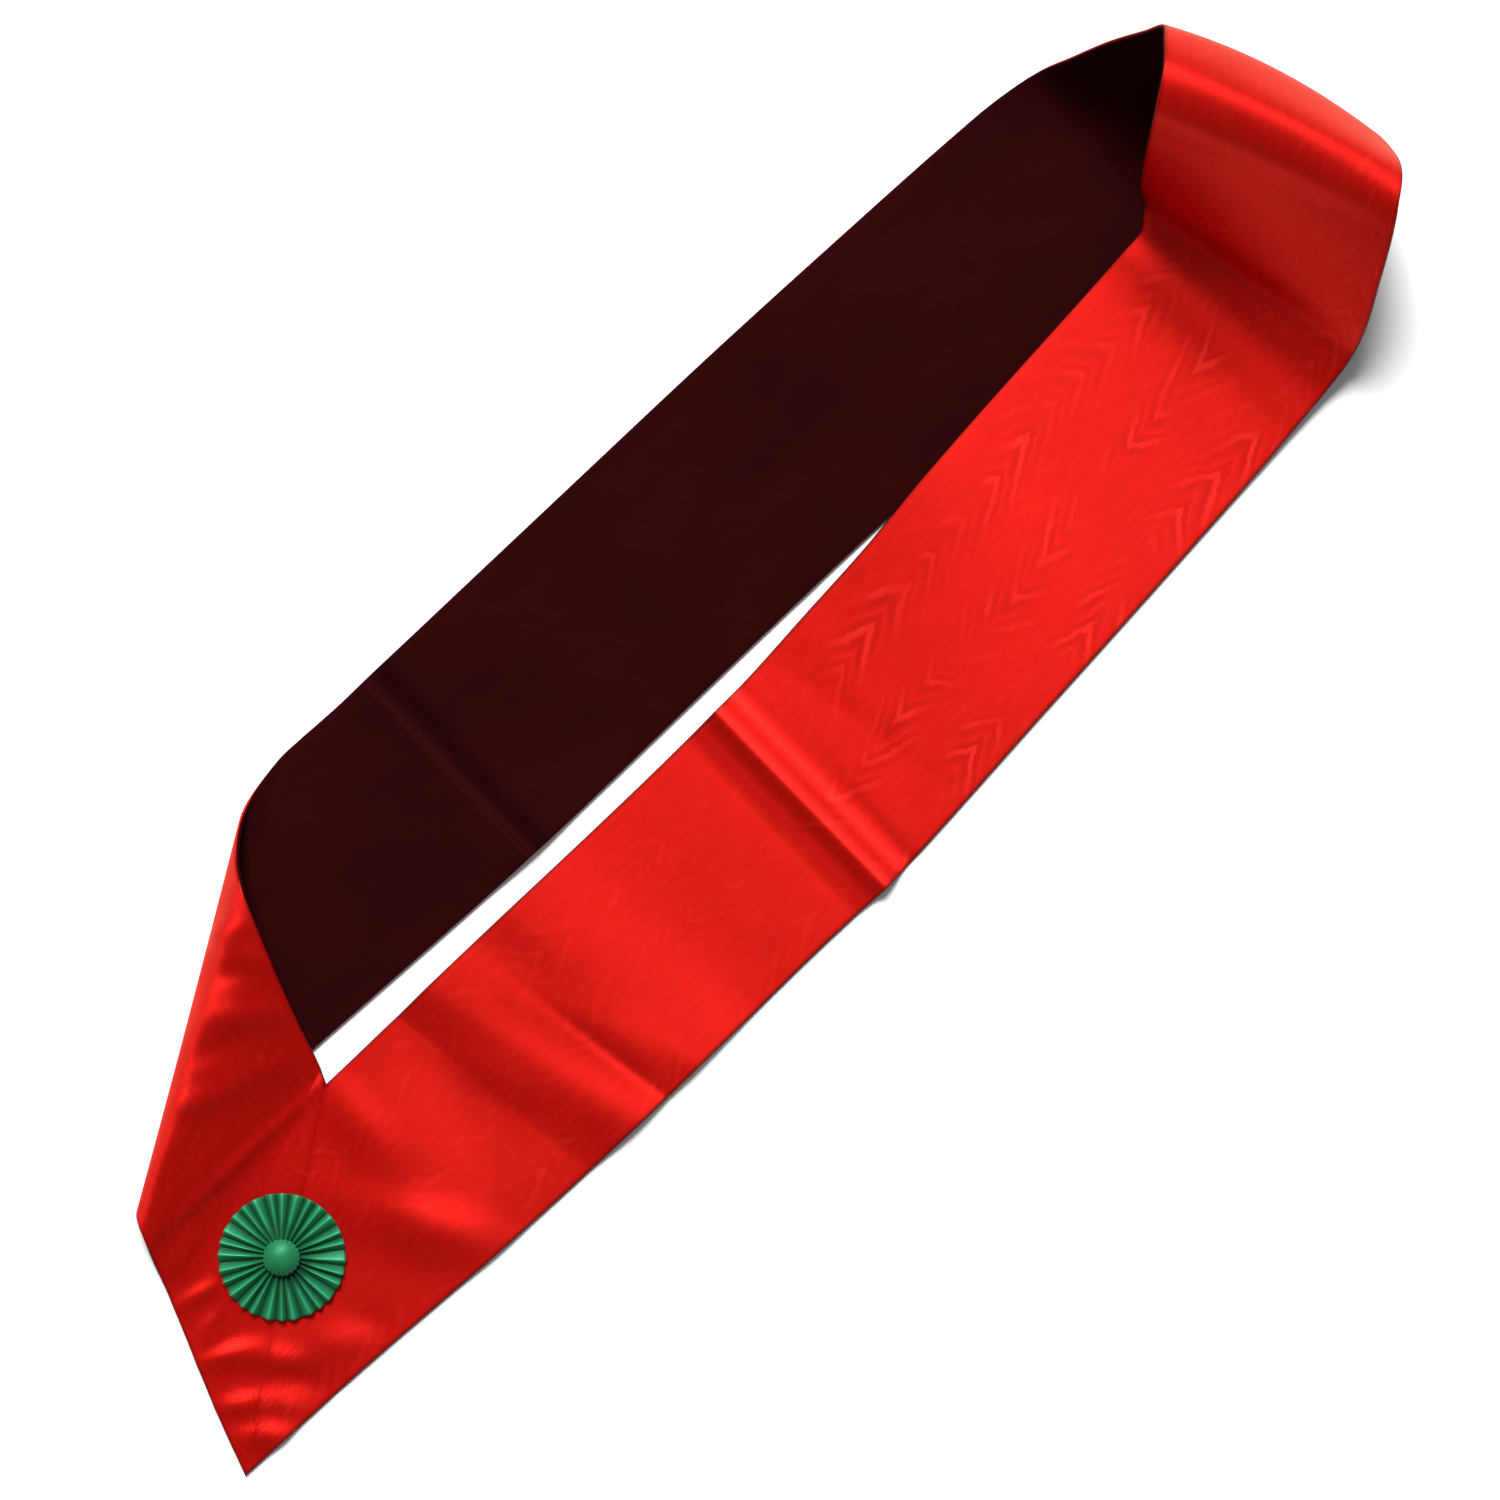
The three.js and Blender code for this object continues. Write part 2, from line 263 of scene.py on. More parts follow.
# finishes; lengths in them are metres, apart from the place of the crease

def layThreads(tree, shader, finish):
    # the threads of a cloth: their relief goes to the shader, and the place on the cloth and the thick
    # places come back
    along, across = clothPlace(tree)
    weave = useGroup(tree, weaveGroup, {"Along": along, "Across": across, "Rib Pitch": finish["ribPitch"],
                                        "Warp Pitch": finish["warpPitch"], "Unevenness": finish["uneven"]})
    height = calc(tree, "MULTIPLY", weave["Height"], finish["threadDepth"])
    bump = addNode(tree, "ShaderNodeBump", {"Height": height, "Strength": 1.0, "Distance": 1.0})
    tree.links.new(bump.outputs[0], shader.inputs["Normal"])
    return along, across, weave["Slub"]


def tintThreads(tree, color, slub, share):
    # thick places lighter and thin ones darker; share is the whole difference between them
    threads = calc(tree, "MULTIPLY_ADD", slub, share, 1 - share / 2)
    return mixColor(tree, 1.0, color, joined(tree, threads, threads, threads), "MULTIPLY")


silkFinish = {
    "deep": (0.38, 0.0012, 0.0006, 1), "base": (0.65, 0.0038, 0.0022, 1), "light": (0.78, 0.026, 0.016, 1),
    "metallic": 0.63, "roughness": 0.50, "specular": 0.5, "glint": (1.0, 0.66, 0.48, 1),
    "threadsAlong": 0.70, "quarterTurn": 0.25,
    "ribPitch": 0.00085, "warpPitch": 0.0004, "threadDepth": 0.00002, "uneven": 0.25, "threadTint": 0.12,
    "spacing": 0.021, "reach": 0.062, "column": 0.037, "firstLine": 0.012,
    "toneShare": 0.6, "toneMiddle": 0.9, "markLight": 1.0, "markDark": 0.8, "markRough": 0.03,
    "halfWidth": 0.055, "edge": 0.0022, "edgeInner": 0.3,     # dark woven edge, and its even part
}


def buildSilk(finish):
    material, tree, shader = newMaterial("redWateredSilk", **{
        "Metallic": finish["metallic"], "Specular IOR Level": finish["specular"],
        "Specular Tint": finish["glint"],
        "Anisotropic": finish["threadsAlong"], "Anisotropic Rotation": finish["quarterTurn"]})
    along, across, slub = layThreads(tree, shader, finish)
    water = useGroup(tree, waterGroup, {"Along": along, "Across": across, "Spacing": finish["spacing"],
                                        "Reach": finish["reach"], "Column": finish["column"],
                                        "First Line": finish["firstLine"]})
    mark = water["Mark"]
    tone = calc(tree, "MULTIPLY_ADD", water["Tone"], finish["toneShare"], finish["toneMiddle"], clamp=True)
    color = mixColor(tree, tone, finish["deep"], finish["base"])
    lighter = calc(tree, "MULTIPLY", mark, finish["markLight"], clamp=True)
    darker = calc(tree, "MULTIPLY", mark, -finish["markDark"], clamp=True)
    color = mixColor(tree, lighter, color, finish["light"])
    color = mixColor(tree, darker, color, finish["deep"])
    fromEdge = calc(tree, "PINGPONG", across, finish["halfWidth"])
    wovenEdge = softStep(tree, fromEdge, finish["edge"], finish["edge"] * finish["edgeInner"])
    color = mixColor(tree, wovenEdge, color, finish["deep"])
    color = tintThreads(tree, color, slub, finish["threadTint"])
    tree.links.new(color, shader.inputs["Base Color"])
    rough = calc(tree, "MULTIPLY_ADD", mark, finish["markRough"], finish["roughness"])
    tree.links.new(rough, shader.inputs["Roughness"])
    threadWay = addNode(tree, "ShaderNodeTangent", direction_type="UV_MAP", uv_map="clothMap")
    tree.links.new(threadWay.outputs[0], shader.inputs["Tangent"])
    return material


liningFinish = {
    "dark": (0.015, 0.0008, 0.0010, 1), "base": (0.025, 0.0014, 0.0018, 1),
    # the last two colours here are painted shade in the crease of the lining and a painted highlight beside
    # it
    "crease": (0.008, 0.0004, 0.0006, 1), "paintedCreaseLight": (0.036, 0.0030, 0.0040, 1),
    "roughness": 0.85, "specular": 0.06, "glint": (1.0, 0.4, 0.45, 1),
    "ribPitch": 0.0006, "warpPitch": 0.0006, "threadDepth": 0.00004, "uneven": 0.4,
    "cloudAlong": 14.0, "cloudAcross": 22.0, "cloudShare": 0.7,     # patches for each metre, their share
    "toneFade": (0.25, 0.75),
    "creaseAt": 294.0,                                              # drawn millimetres along +X
    # place, width and strength of the painted crease shade and of the painted highlight beside it
    "creaseSway": 0.006, "creaseHalf": (0.0075, 0.001), "creaseDark": 0.75,
    "creaseLightAside": 0.0085, "creaseLightHalf": (0.004, 0.0005), "creaseLightShare": 0.5,
}


def buildLining(finish):
    material, tree, shader = newMaterial("darkLining", **{
        "Roughness": finish["roughness"], "Specular IOR Level": finish["specular"],
        "Specular Tint": finish["glint"]})
    along, across, slub = layThreads(tree, shader, finish)
    cloud = cloudOver(tree, along, across, finish["cloudAlong"], finish["cloudAcross"], detail=3.0)
    tone = calc(tree, "ADD", calc(tree, "MULTIPLY", cloud, finish["cloudShare"]),
                calc(tree, "MULTIPLY", slub, 1 - finish["cloudShare"]))
    color = mixColor(tree, softStep(tree, tone, *finish["toneFade"]), finish["dark"], finish["base"])
    # painted shade in a line straight across the back band at the crease in the lining, and a painted
    # highlight along its left side
    where = addNode(tree, "ShaderNodeSeparateXYZ",
                    {"Vector": addNode(tree, "ShaderNodeTexCoord").outputs["Object"]}).outputs["X"]
    aside = calc(tree, "SUBTRACT", where, float(finish["creaseAt"] + moveBy[0]) * mm)
    aside = calc(tree, "MULTIPLY_ADD", calc(tree, "SUBTRACT", cloud, 0.5), finish["creaseSway"], aside)
    paintedCreaseShade = softStep(tree, calc(tree, "ABSOLUTE", aside), *finish["creaseHalf"])
    creaseLightLine = calc(tree, "ADD", aside, finish["creaseLightAside"])
    paintedCreaseLight = softStep(tree, calc(tree, "ABSOLUTE", creaseLightLine), *finish["creaseLightHalf"])
    color = mixColor(tree, calc(tree, "MULTIPLY", paintedCreaseShade, finish["creaseDark"]), color, finish["crease"])
    color = mixColor(tree, calc(tree, "MULTIPLY", paintedCreaseLight, finish["creaseLightShare"]), color, finish["paintedCreaseLight"])
    tree.links.new(color, shader.inputs["Base Color"])
    return material


greenFinish = {
    # painted shade for the folds, the green's own colour, and a painted highlight for the crests
    "fold": (0.0015, 0.050, 0.020, 1), "base": (0.012, 0.175, 0.068, 1), "crest": (0.032, 0.32, 0.15, 1),
    "metallic": 0.20, "roughness": 0.45, "roughShare": 0.12, "specular": 0.35, "glint": (0.5, 1.0, 0.7, 1),
    "sheen": 0.12, "sheenRoughness": 0.4, "sheenTint": (0.4, 1.0, 0.6, 1),
    "ribPitch": 0.0005, "warpPitch": 0.0004, "threadDepth": 0.00003, "uneven": 0.3, "threadTint": 0.3,
    "foldToBase": (0.0, 0.6), "baseToCrest": (0.55, 1.0),      # of the crest attribute
}


def buildGreen(name, finish):
    material, tree, shader = newMaterial(name, **{
        "Metallic": finish["metallic"], "Specular IOR Level": finish["specular"],
        "Specular Tint": finish["glint"], "Sheen Weight": finish["sheen"],
        "Sheen Roughness": finish["sheenRoughness"], "Sheen Tint": finish["sheenTint"]})
    slub = layThreads(tree, shader, finish)[2]
    # the attribute read here paints shade into the folds and a highlight onto the crests
    crest = addNode(tree, "ShaderNodeAttribute", attribute_name="crest").outputs["Fac"]
    color = mixColor(tree, softStep(tree, crest, *finish["foldToBase"]), finish["fold"], finish["base"])
    color = mixColor(tree, softStep(tree, crest, *finish["baseToCrest"]), color, finish["crest"])
    color = tintThreads(tree, color, slub, finish["threadTint"])
    tree.links.new(color, shader.inputs["Base Color"])
    share = finish["roughShare"]
    rough = calc(tree, "MULTIPLY_ADD", slub, share, finish["roughness"] - share / 2)
    tree.links.new(rough, shader.inputs["Roughness"])
    return material


silkMaterial = buildSilk(silkFinish)
liningMaterial = buildLining(liningFinish)
pleatMaterial = buildGreen("greenRibbon", greenFinish)
buttonMaterial = buildGreen("greenButtonCloth", greenFinish)
print("materials built")


# sections of the loop: each row is one line of cloth from the outer edge of the ribbon to its inner
# edge, with the height over cloth that lies flat, and how far its middle stands out on the silk side

#    outer x, y, z         inner x, y, z          bow
loopSections = np.array([
    (-1.6, -0.6, 0.0,     148.0, 101.6, 0.0,     0.0),    # seam of the point
    (70.0, -2.8, 0.0,     168.0, 101.4, 0.0,     0.0),
    (150.0, -7.2, 0.0,    184.0, 101.3, 0.0,     0.0),
    (206.0, -9.2, 0.0,    192.0, 101.2, 0.0,     0.0),    # soft crease: foot, crest, valley
    (237.0, -9.6, 3.4,    211.0, 101.4, 2.6,     0.0),
    (264.0, -9.6, 0.8,    243.0, 101.2, 1.2,     0.0),
    (276.0, -9.5, 2.0,    262.0, 101.0, 1.6,     0.0),
    (312.0, -9.4, 0.2,    308.0, 100.4, 0.2,     0.0),
    (346.0, -9.2, 0.0,    346.0, 100.2, 0.0,     0.0),
    (372.0, -9.6, 0.0,    372.0, 100.4, 0.0,     0.0),
    (389.6, -10.2, 4.4,   389.0, 100.8, 4.4,     0.0),    # storage fold
    (408.0, -9.4, 0.0,    409.0, 101.2, 0.4,     0.0),
    (450.0, -6.4, 0.0,    448.0, 104.0, 0.8,     0.0),
    (494.0, -3.0, 0.0,    490.0, 107.0, 2.4,     0.0),    # laps the back band from here
    (536.0, 0.0, 0.0,     530.0, 111.6, 3.4,     0.0),
    (586.0, 3.8, 0.0,     579.0, 115.8, 3.4,     0.0),
    (640.0, 8.4, 0.0,     632.0, 119.6, 3.4,     0.0),
    (668.0, 11.4, 1.4,    663.0, 122.0, 3.6,     0.0),
    (690.0, 14.0, 5.0,    679.4, 123.8, 5.6,     0.0),
    (703.8, 16.6, 13.0,   686.4, 130.2, 14.0,    0.0),    # foot of the roll
    (715.4, 22.2, 29.0,   686.4, 136.6, 35.0,    0.0),
    (729.6, 32.6, 48.0,   689.6, 142.0, 58.0,   -1.0),
    (743.8, 43.4, 66.0,   696.4, 148.8, 82.0,   -2.0),
    (754.0, 52.0, 76.0,   705.0, 155.8, 99.0,   -1.0),    # crest
    (764.6, 60.2, 73.0,   717.0, 164.4, 101.0,   2.0),
    (772.8, 70.2, 54.0,   727.4, 173.4, 92.0,    4.0),    # nose
    (775.6, 86.0, 31.0,   733.4, 178.8, 79.0,    5.0),
    (764.0, 98.0, 11.0,   728.4, 183.0, 68.0,    4.0),
    (743.0, 101.0, 2.4,   717.0, 191.6, 51.0,    6.0),    # comes down
    (717.0, 102.0, 0.0,   704.0, 199.6, 30.0,    8.0),
    (692.0, 103.0, 0.0,   692.0, 206.6, 12.0,    4.0),
    (668.0, 104.0, 0.0,   671.0, 211.0, 2.0,     0.0),    # back band
    (640.0, 105.0, 0.0,   643.0, 213.0, 0.0,     0.0),
    (580.0, 107.0, 0.0,   582.0, 215.4, 0.0,     0.0),
    (500.0, 109.6, 0.0,   501.0, 217.8, 0.0,     0.0),
    (410.0, 110.4, 0.0,   411.0, 219.0, 0.0,     0.0),
    (318.0, 110.6, 0.0,   320.0, 220.0, 0.0,     0.0),
    (288.0, 111.0, 1.6,   291.0, 220.2, 2.0,     0.0),    # crease in the lining
    (256.0, 112.0, 0.0,   270.0, 220.4, 0.0,     0.0),
    (190.0, 115.0, 0.0,   256.0, 221.0, 0.0,     0.0),
    (124.0, 118.0, 0.0,   246.0, 221.6, 0.0,     0.0),
    (70.0, 119.6, 0.0,    232.0, 221.6, 0.4,     0.0),
    (53.4, 119.6, 1.4,    208.6, 216.0, 5.0,     0.0),    # turn
    (46.2, 117.6, 4.4,    192.6, 203.0, 15.0,    0.0),
    (42.8, 111.6, 8.0,    185.0, 190.0, 25.0,    0.0),
    (39.8, 105.0, 7.2,    178.6, 175.0, 26.0,    0.0),
    (35.6, 96.0, 3.4,     168.0, 151.0, 19.0,    0.0),
    (31.6, 86.0, 0.6,     158.0, 127.0, 8.4,     0.0),
    (28.4, 78.0, 0.0,     153.0, 114.0, 2.2,     0.0),    # left side of the point
    (21.2, 60.0, 0.0,     150.6, 108.0, 0.0,     0.0),
    (9.6, 31.0, 0.0,      149.2, 104.6, 0.0,     0.0),
    (-1.6, -0.6, 0.0,     148.0, 101.6, 0.0,     0.0),    # seam of the point
])
lastSection = len(loopSections) - 1

cloth = {
    "width": 110.0,
    "restLift": 1.15,          # height of the middle of the two cloths when they lie flat
    "stepAlong": 1.75,         # size of a facet along the ribbon, about
    "columns": 44,             # facets across the silk side
    "backColumns": 20,         # facets across a side that doesn't show
    "silk": (0.10, 1.08),      # from and to, off the middle surface, towards the silk side
    "lining": (-1.08, -0.10),
    "silkInset": 0.35,         # the silk stops this far short of the lining's edge
    "innerStart": 142.0,       # the inner edge starts this far along, because the ends are mitred
    "lowest": 0.06,            # no point of the cloth lies lower
}

seam = {
    "depth": 0.6, "halfWidth": 0.9, "reach": 1.5,     # reach in sections from the seam
    "atTip": 0.15,                                    # share of the depth that is left at the tip
    "finest": 0.25, "fineReach": 0.5,                 # share of the step at the seam, and how fast it grows
}


def smoothLine(points, place):
    # centripetal Catmull-Rom curve through the points; place counts points and is an array
    ends = np.vstack([2 * points[0] - points[1], points, 2 * points[-1] - points[-2]])
    index = np.clip(np.floor(place).astype(int), 0, len(points) - 2)
    w = (place - index)[:, None]
    p0, p1, p2, p3 = (ends[index + k] for k in range(4))
    gap = [np.maximum(np.sum((b - a) ** 2, axis=1) ** 0.25, 1e-4)[:, None]
           for a, b in ((p0, p1), (p1, p2), (p2, p3))]
    slope1 = ((p1 - p0) / gap[0] - (p2 - p0) / (gap[0] + gap[1]) + (p2 - p1) / gap[1]) * gap[1]
    slope2 = ((p2 - p1) / gap[1] - (p3 - p1) / (gap[1] + gap[2]) + (p3 - p2) / gap[2]) * gap[1]
    return (p1 + slope1 * w + (3 * (p2 - p1) - 2 * slope1 - slope2) * w ** 2
            + (2 * (p1 - p2) + slope1 + slope2) * w ** 3)


def middleOfSections(table):
    # middle of each line, stood out by its bow square to the line and to the run of the cloth
    outer, inner = table[:, 0:3], table[:, 3:6]
    before = np.maximum(np.arange(len(table)) - 1, 0)
    after = np.minimum(np.arange(len(table)) + 1, len(table) - 1)
    run = outer[after] + inner[after] - outer[before] - inner[before]
    facing = np.cross(run, inner - outer)
    return (outer + inner) / 2 + facing / np.linalg.norm(facing, axis=1)[:, None] * table[:, 6:7]


outerPoints, innerPoints = loopSections[:, 0:3], loopSections[:, 3:6]
middlePoints = middleOfSections(loopSections)


def clothSurface(place, across):
    # parabola through the outer, middle and inner curves at each place: rows of places by columns
    # outer (1 - v)(1 - 2v) + middle 4v(1 - v) + inner v(2v - 1), lifted by half the cloth
    v = across[None, :, None]
    point = (smoothLine(outerPoints, place)[:, None] * (1 - v) * (1 - 2 * v)
             + smoothLine(middlePoints, place)[:, None] * 4 * v * (1 - v)
             + smoothLine(innerPoints, place)[:, None] * v * (2 * v - 1))
    point[..., 2] = np.maximum(point[..., 2], 0) + cloth["restLift"]
    return point


def facetPlaces():
    # rows about a step apart on the longer edge, and closer together beside the seam, where the step is
    # finest + distance / fineReach
    finePerSection = 60
    fine = np.linspace(0, lastSection, lastSection * finePerSection + 1)
    outerRun = np.linalg.norm(np.diff(smoothLine(outerPoints, fine), axis=0), axis=1)
    innerRun = np.linalg.norm(np.diff(smoothLine(innerPoints, fine), axis=0), axis=1)
    fromSeam = np.minimum(fine[1:], lastSection - fine[1:])
    step = cloth["stepAlong"] * np.minimum(seam["finest"] + fromSeam / seam["fineReach"], 1.0)
    count = np.concatenate([[0], np.cumsum(np.maximum(outerRun, innerRun) / step)])
    return np.interp(np.linspace(0, count[-1], int(count[-1]) + 1), count, fine)


# creases and dents of the cloth as it lies, drawn on the table: (x, y) is the middle, long and wide
# are half sizes, turn is the angle of the long way from +X, rise is the height there, and sharp is 1
# for a crease that comes to a line and 2 for a soft swell

#    x,     y,    long, wide, turn, rise, sharp
frontFolds = [
    (146.0, 84.0, 26.0, 11.0, 88.0, 1.6, 2),      # rise beside the seam, its far side open to the band
    (161.0, 72.0, 34.0, 24.0, 80.0, 1.7, 2),
    (135.0, 25.0, 32.0, 13.0, -59.0, 3.4, 2),     # long rise across the foot of the band, dark on its left
    (152.0, 36.0, 34.0, 24.0, -59.0, 1.7, 2),
    (178.0, 8.0, 26.0, 8.0, 12.0, 0.6, 2),
    (205.0, 52.0, 22.0, 8.0, 105.0, 1.0, 2),      # soft crease: near side, crest, bottom and far side
    (232.0, 42.0, 52.0, 11.0, 104.0, -0.9, 2),
    (250.5, 16.0, 42.0, 2.8, 98.5, -0.45, 2),
    (261.0, 14.0, 44.0, 9.0, 101.0, 1.7, 2),
    (389.2, 45.0, 400.0, 1.8, 90.0, 0.7, 1),      # storage fold, hollow on both sides
    (383.3, 45.0, 400.0, 5.4, 90.0, -2.15, 2),
    (376.5, 45.0, 400.0, 3.2, 90.0, -0.3, 2),
    (400.5, 45.0, 400.0, 7.0, 90.0, -1.4, 2),
    (668.0, 66.0, 120.0, 55.0, 96.0, 2.0, 2),     # lift before the roll
    (677.0, 100.0, 60.0, 22.0, 98.0, 2.4, 2),
]
leftFolds = [
    (163.0, 182.0, 12.0, 5.0, -30.0, 1.8, 2),     # folds down from the turn
    (153.0, 167.0, 12.0, 5.0, -38.0, -1.8, 2),
    (144.0, 150.0, 15.0, 6.0, -38.0, 2.4, 2),
    (168.0, 160.0, 10.0, 4.0, -62.0, 1.1, 2),
    (124.0, 147.0, 13.0, 5.0, -25.0, -1.5, 2),
    (107.0, 134.0, 18.0, 5.5, -25.0, 1.8, 2),
    (80.0, 130.0, 16.0, 4.5, 22.0, 0.8, 2),
    (133.0, 126.0, 16.0, 5.0, -32.0, 1.0, 2),
    (96.0, 104.3, 50.0, 3.4, -1.5, 1.5, 2),       # crease from the corner of the slit
    (76.0, 112.0, 30.0, 5.0, 6.0, 0.7, 2),
    (48.0, 92.0, 9.0, 4.0, 20.0, 1.2, 2),
    (42.0, 72.5, 13.0, 3.6, -16.0, 1.3, 2),       # puckers up from the lower left edge
    (34.0, 60.0, 8.0, 3.2, 4.0, 0.7, 2),
    (30.0, 55.0, 8.0, 2.6, -12.0, 0.6, 2),
    (33.0, 43.0, 16.0, 4.4, -30.0, 2.3, 2),
    (46.0, 27.0, 14.0, 4.2, -45.0, 2.3, 2),
    (22.0, 22.5, 11.0, 3.8, -40.0, 2.7, 2),
    (18.0, 7.0, 12.0, 5.5, -42.0, 3.0, 2),
    (34.0, 10.0, 9.0, 4.0, -50.0, 1.1, 2),
    (47.0, 13.0, 15.0, 3.0, -57.0, -1.3, 1),      # crease across the foot of the point
    (68.0, 16.0, 15.0, 7.5, -35.0, 1.3, 2),       # swell under the rosette
    (88.0, 12.0, 12.0, 7.0, -60.0, -0.5, 2),
]
# the back band lies with its silk side down, so a fold that stands up from the table is below 0 here
backFolds = [
    (287.0, 168.0, 50.0, 2.6, 90.0, -0.7, 1),     # crease in the lining
    (497.0, 157.0, 55.0, 5.0, 50.0, -0.9, 2),     # soft slanting folds
    (602.0, 165.0, 60.0, 5.0, 48.0, -0.9, 2),
]

foldReach = {
    "frontEnd": 19.4, "turnStart": 42.6,              # places along the loop, counted in sections
    "backFrom": 31.0, "backTo": 41.0, "backFade": 0.8,
    "rosette": 27.0, "rosetteFade": 9.0,              # no folds inside this radius
}


def foldHeight(points, folds):
    # sum over the folds of rise times exp(-(along / long)^2 - |aside / wide|^sharp)
    height = np.zeros(points.shape[:-1])
    for x, y, long, wide, turn, rise, sharp in folds:
        c, s = math.cos(math.radians(turn)), math.sin(math.radians(turn))
        dx, dy = points[..., 0] - x, points[..., 1] - y
        along = (dx * c + dy * s) / long
        aside = (dy * c - dx * s) / wide
        height += rise * np.exp(-along ** 2 - np.abs(aside) ** sharp)
    return height


def seamDistance(points):
    # distance from the line of the mitred seam, seen from above
    start, end = outerPoints[0, :2], innerPoints[0, :2]
    way = (end - start) / np.linalg.norm(end - start)
    return np.abs((points[..., 0] - start[0]) * way[1] - (points[..., 1] - start[1]) * way[0])


def smooth(value):
    # 3t^2 - 2t^3 of the value kept between 0 and 1
    t = np.clip(value, 0, 1)
    return t * t * (3 - 2 * t)


def reliefOnCloth(place, points):
    # height that the folds add, faded in and out along the loop, none where the rosette sits, and the
    # same at both sides of the seam
    p, reach = place[:, None], foldReach
    silkUp = smooth(np.maximum(reach["frontEnd"] - p, p - reach["turnStart"]))
    silkDown = (smooth((p - reach["backFrom"]) / reach["backFade"])
                * smooth((reach["backTo"] - p) / reach["backFade"]))
    relief = foldHeight(points, frontFolds + leftFolds) * silkUp + foldHeight(points, backFolds) * silkDown
    toRosette = np.hypot(points[..., 0] - rosetteCentre[0], points[..., 1] - rosetteCentre[1])
    return relief * smooth((toRosette - reach["rosette"]) / reach["rosetteFade"])


def seamGroove(place, points, columnsAcross):
    # depth times exp(-(distance / halfWidth)^2), less towards the tip: atTip + (1 - atTip) v^4
    groove = np.exp(-(seamDistance(points) / seam["halfWidth"]) ** 2)
    atSeam = (np.minimum(place, lastSection - place) < seam["reach"])[:, None]
    nearCorner = seam["atTip"] + (1 - seam["atTip"]) * columnsAcross[None, :] ** 4
    return seam["depth"] * groove * nearCorner * atSeam


def meshObject(name, points, corners, mapRows, material):
    # points in drawn millimetres, corners as quads of point numbers, mapRows as the map of each corner
    mesh = bpy.data.meshes.new(name)
    mesh.vertices.add(len(points))
    mesh.vertices.foreach_set("co", tableToRow(points).astype(np.float32).ravel())
    mesh.loops.add(corners.size)
    mesh.loops.foreach_set("vertex_index", corners.astype(np.int32).ravel())
    mesh.polygons.add(len(corners))
    mesh.polygons.foreach_set("loop_start", np.arange(0, corners.size, 4, dtype=np.int32))
    mesh.polygons.foreach_set("loop_total", np.full(len(corners), 4, np.int32))
    mesh.update(calc_edges=True)
    mesh.polygons.foreach_set("use_smooth", np.ones(len(corners), bool))
    uv = mesh.uv_layers.new(name="clothMap")
    uv.data.foreach_set("uv", mapRows.astype(np.float32).ravel())
    mesh.materials.append(material)
    mesh.validate()
    made = bpy.data.objects.new(name, mesh)
    bpy.context.scene.collection.objects.link(made)
    return made


def cornerMap(mapAt, i, k, nextI, nextK):
    # the map at the four corners of each quad, in the order of shellFaces
    corners = [mapAt(i, k), mapAt(nextI, k), mapAt(nextI, nextK), mapAt(i, nextK)]
    return np.stack(corners, 2).reshape(-1, 2)


def paintLightAndShade(made, shade):
    # one number for each point, read by the green finish: 0 for the painted shade in the folds, 1 for the
    # painted highlight on the crests
    crest = made.data.attributes.new("crest", "FLOAT", "POINT")
    crest.data.foreach_set("value", shade.astype(np.float32).ravel())


def shellFaces(rows, around):
    # quads of a tube of rows by points around, its last row joined to its first
    i = np.arange(rows)[:, None]
    k = np.arange(around)[None, :]
    nextK = (k + 1) % around
    nextI = (i + 1) % rows
    quads = np.stack([i * around + k, nextI * around + k, nextI * around + nextK, i * around + nextK], -1)
    return quads.reshape(-1, 4), i, k


def clothOutline(low, high, inset, frontColumns, backColumns):
    # once round the thin cross-section of a cloth: out over its silk side, round the edge, back down the
    # other side; gives the place across from 0 to 1, the height off the middle surface, and how far the
    # round edges stand out
    half = (high - low) / 2
    bend = np.radians([60, 30, 0, -30, -60])    # steps round an edge
    across = np.concatenate([np.linspace(0, 1, frontColumns + 1), np.ones(len(bend)),
                             np.linspace(1, 0, backColumns + 1), np.zeros(len(bend))])
    lift = np.concatenate([np.full(frontColumns + 1, high), low + half + half * np.sin(bend),
                           np.full(backColumns + 1, low), low + half - half * np.sin(bend)])
    edgeShift = np.concatenate([np.zeros(frontColumns + 1), half * np.cos(bend),
                                np.zeros(backColumns + 1), -half * np.cos(bend)])
    inward = inset + half                       # the flat part stops before the round edge
    shrink = 1 - 2 * inward / cloth["width"]
    return 0.5 + (across - 0.5) * shrink, lift, edgeShift


def mapOfCloth(place, sectionAcross, edgeShift):
    # metres along the ribbon, counted apart on its two edges and shared out across, and metres across
    edges = clothSurface(place, np.array([0.0, 1.0]))
    step = np.linalg.norm(np.diff(edges, axis=0), axis=2)
    walked = np.vstack([[0, 0], np.cumsum(step, axis=0)]) + np.array([0.0, cloth["innerStart"]])
    alongMap = walked[:, :1] * (1 - sectionAcross) + walked[:, 1:] * sectionAcross
    acrossMap = np.broadcast_to(sectionAcross * cloth["width"] + edgeShift, alongMap.shape)
    return np.stack([alongMap, acrossMap], -1) * mm, walked[-1]


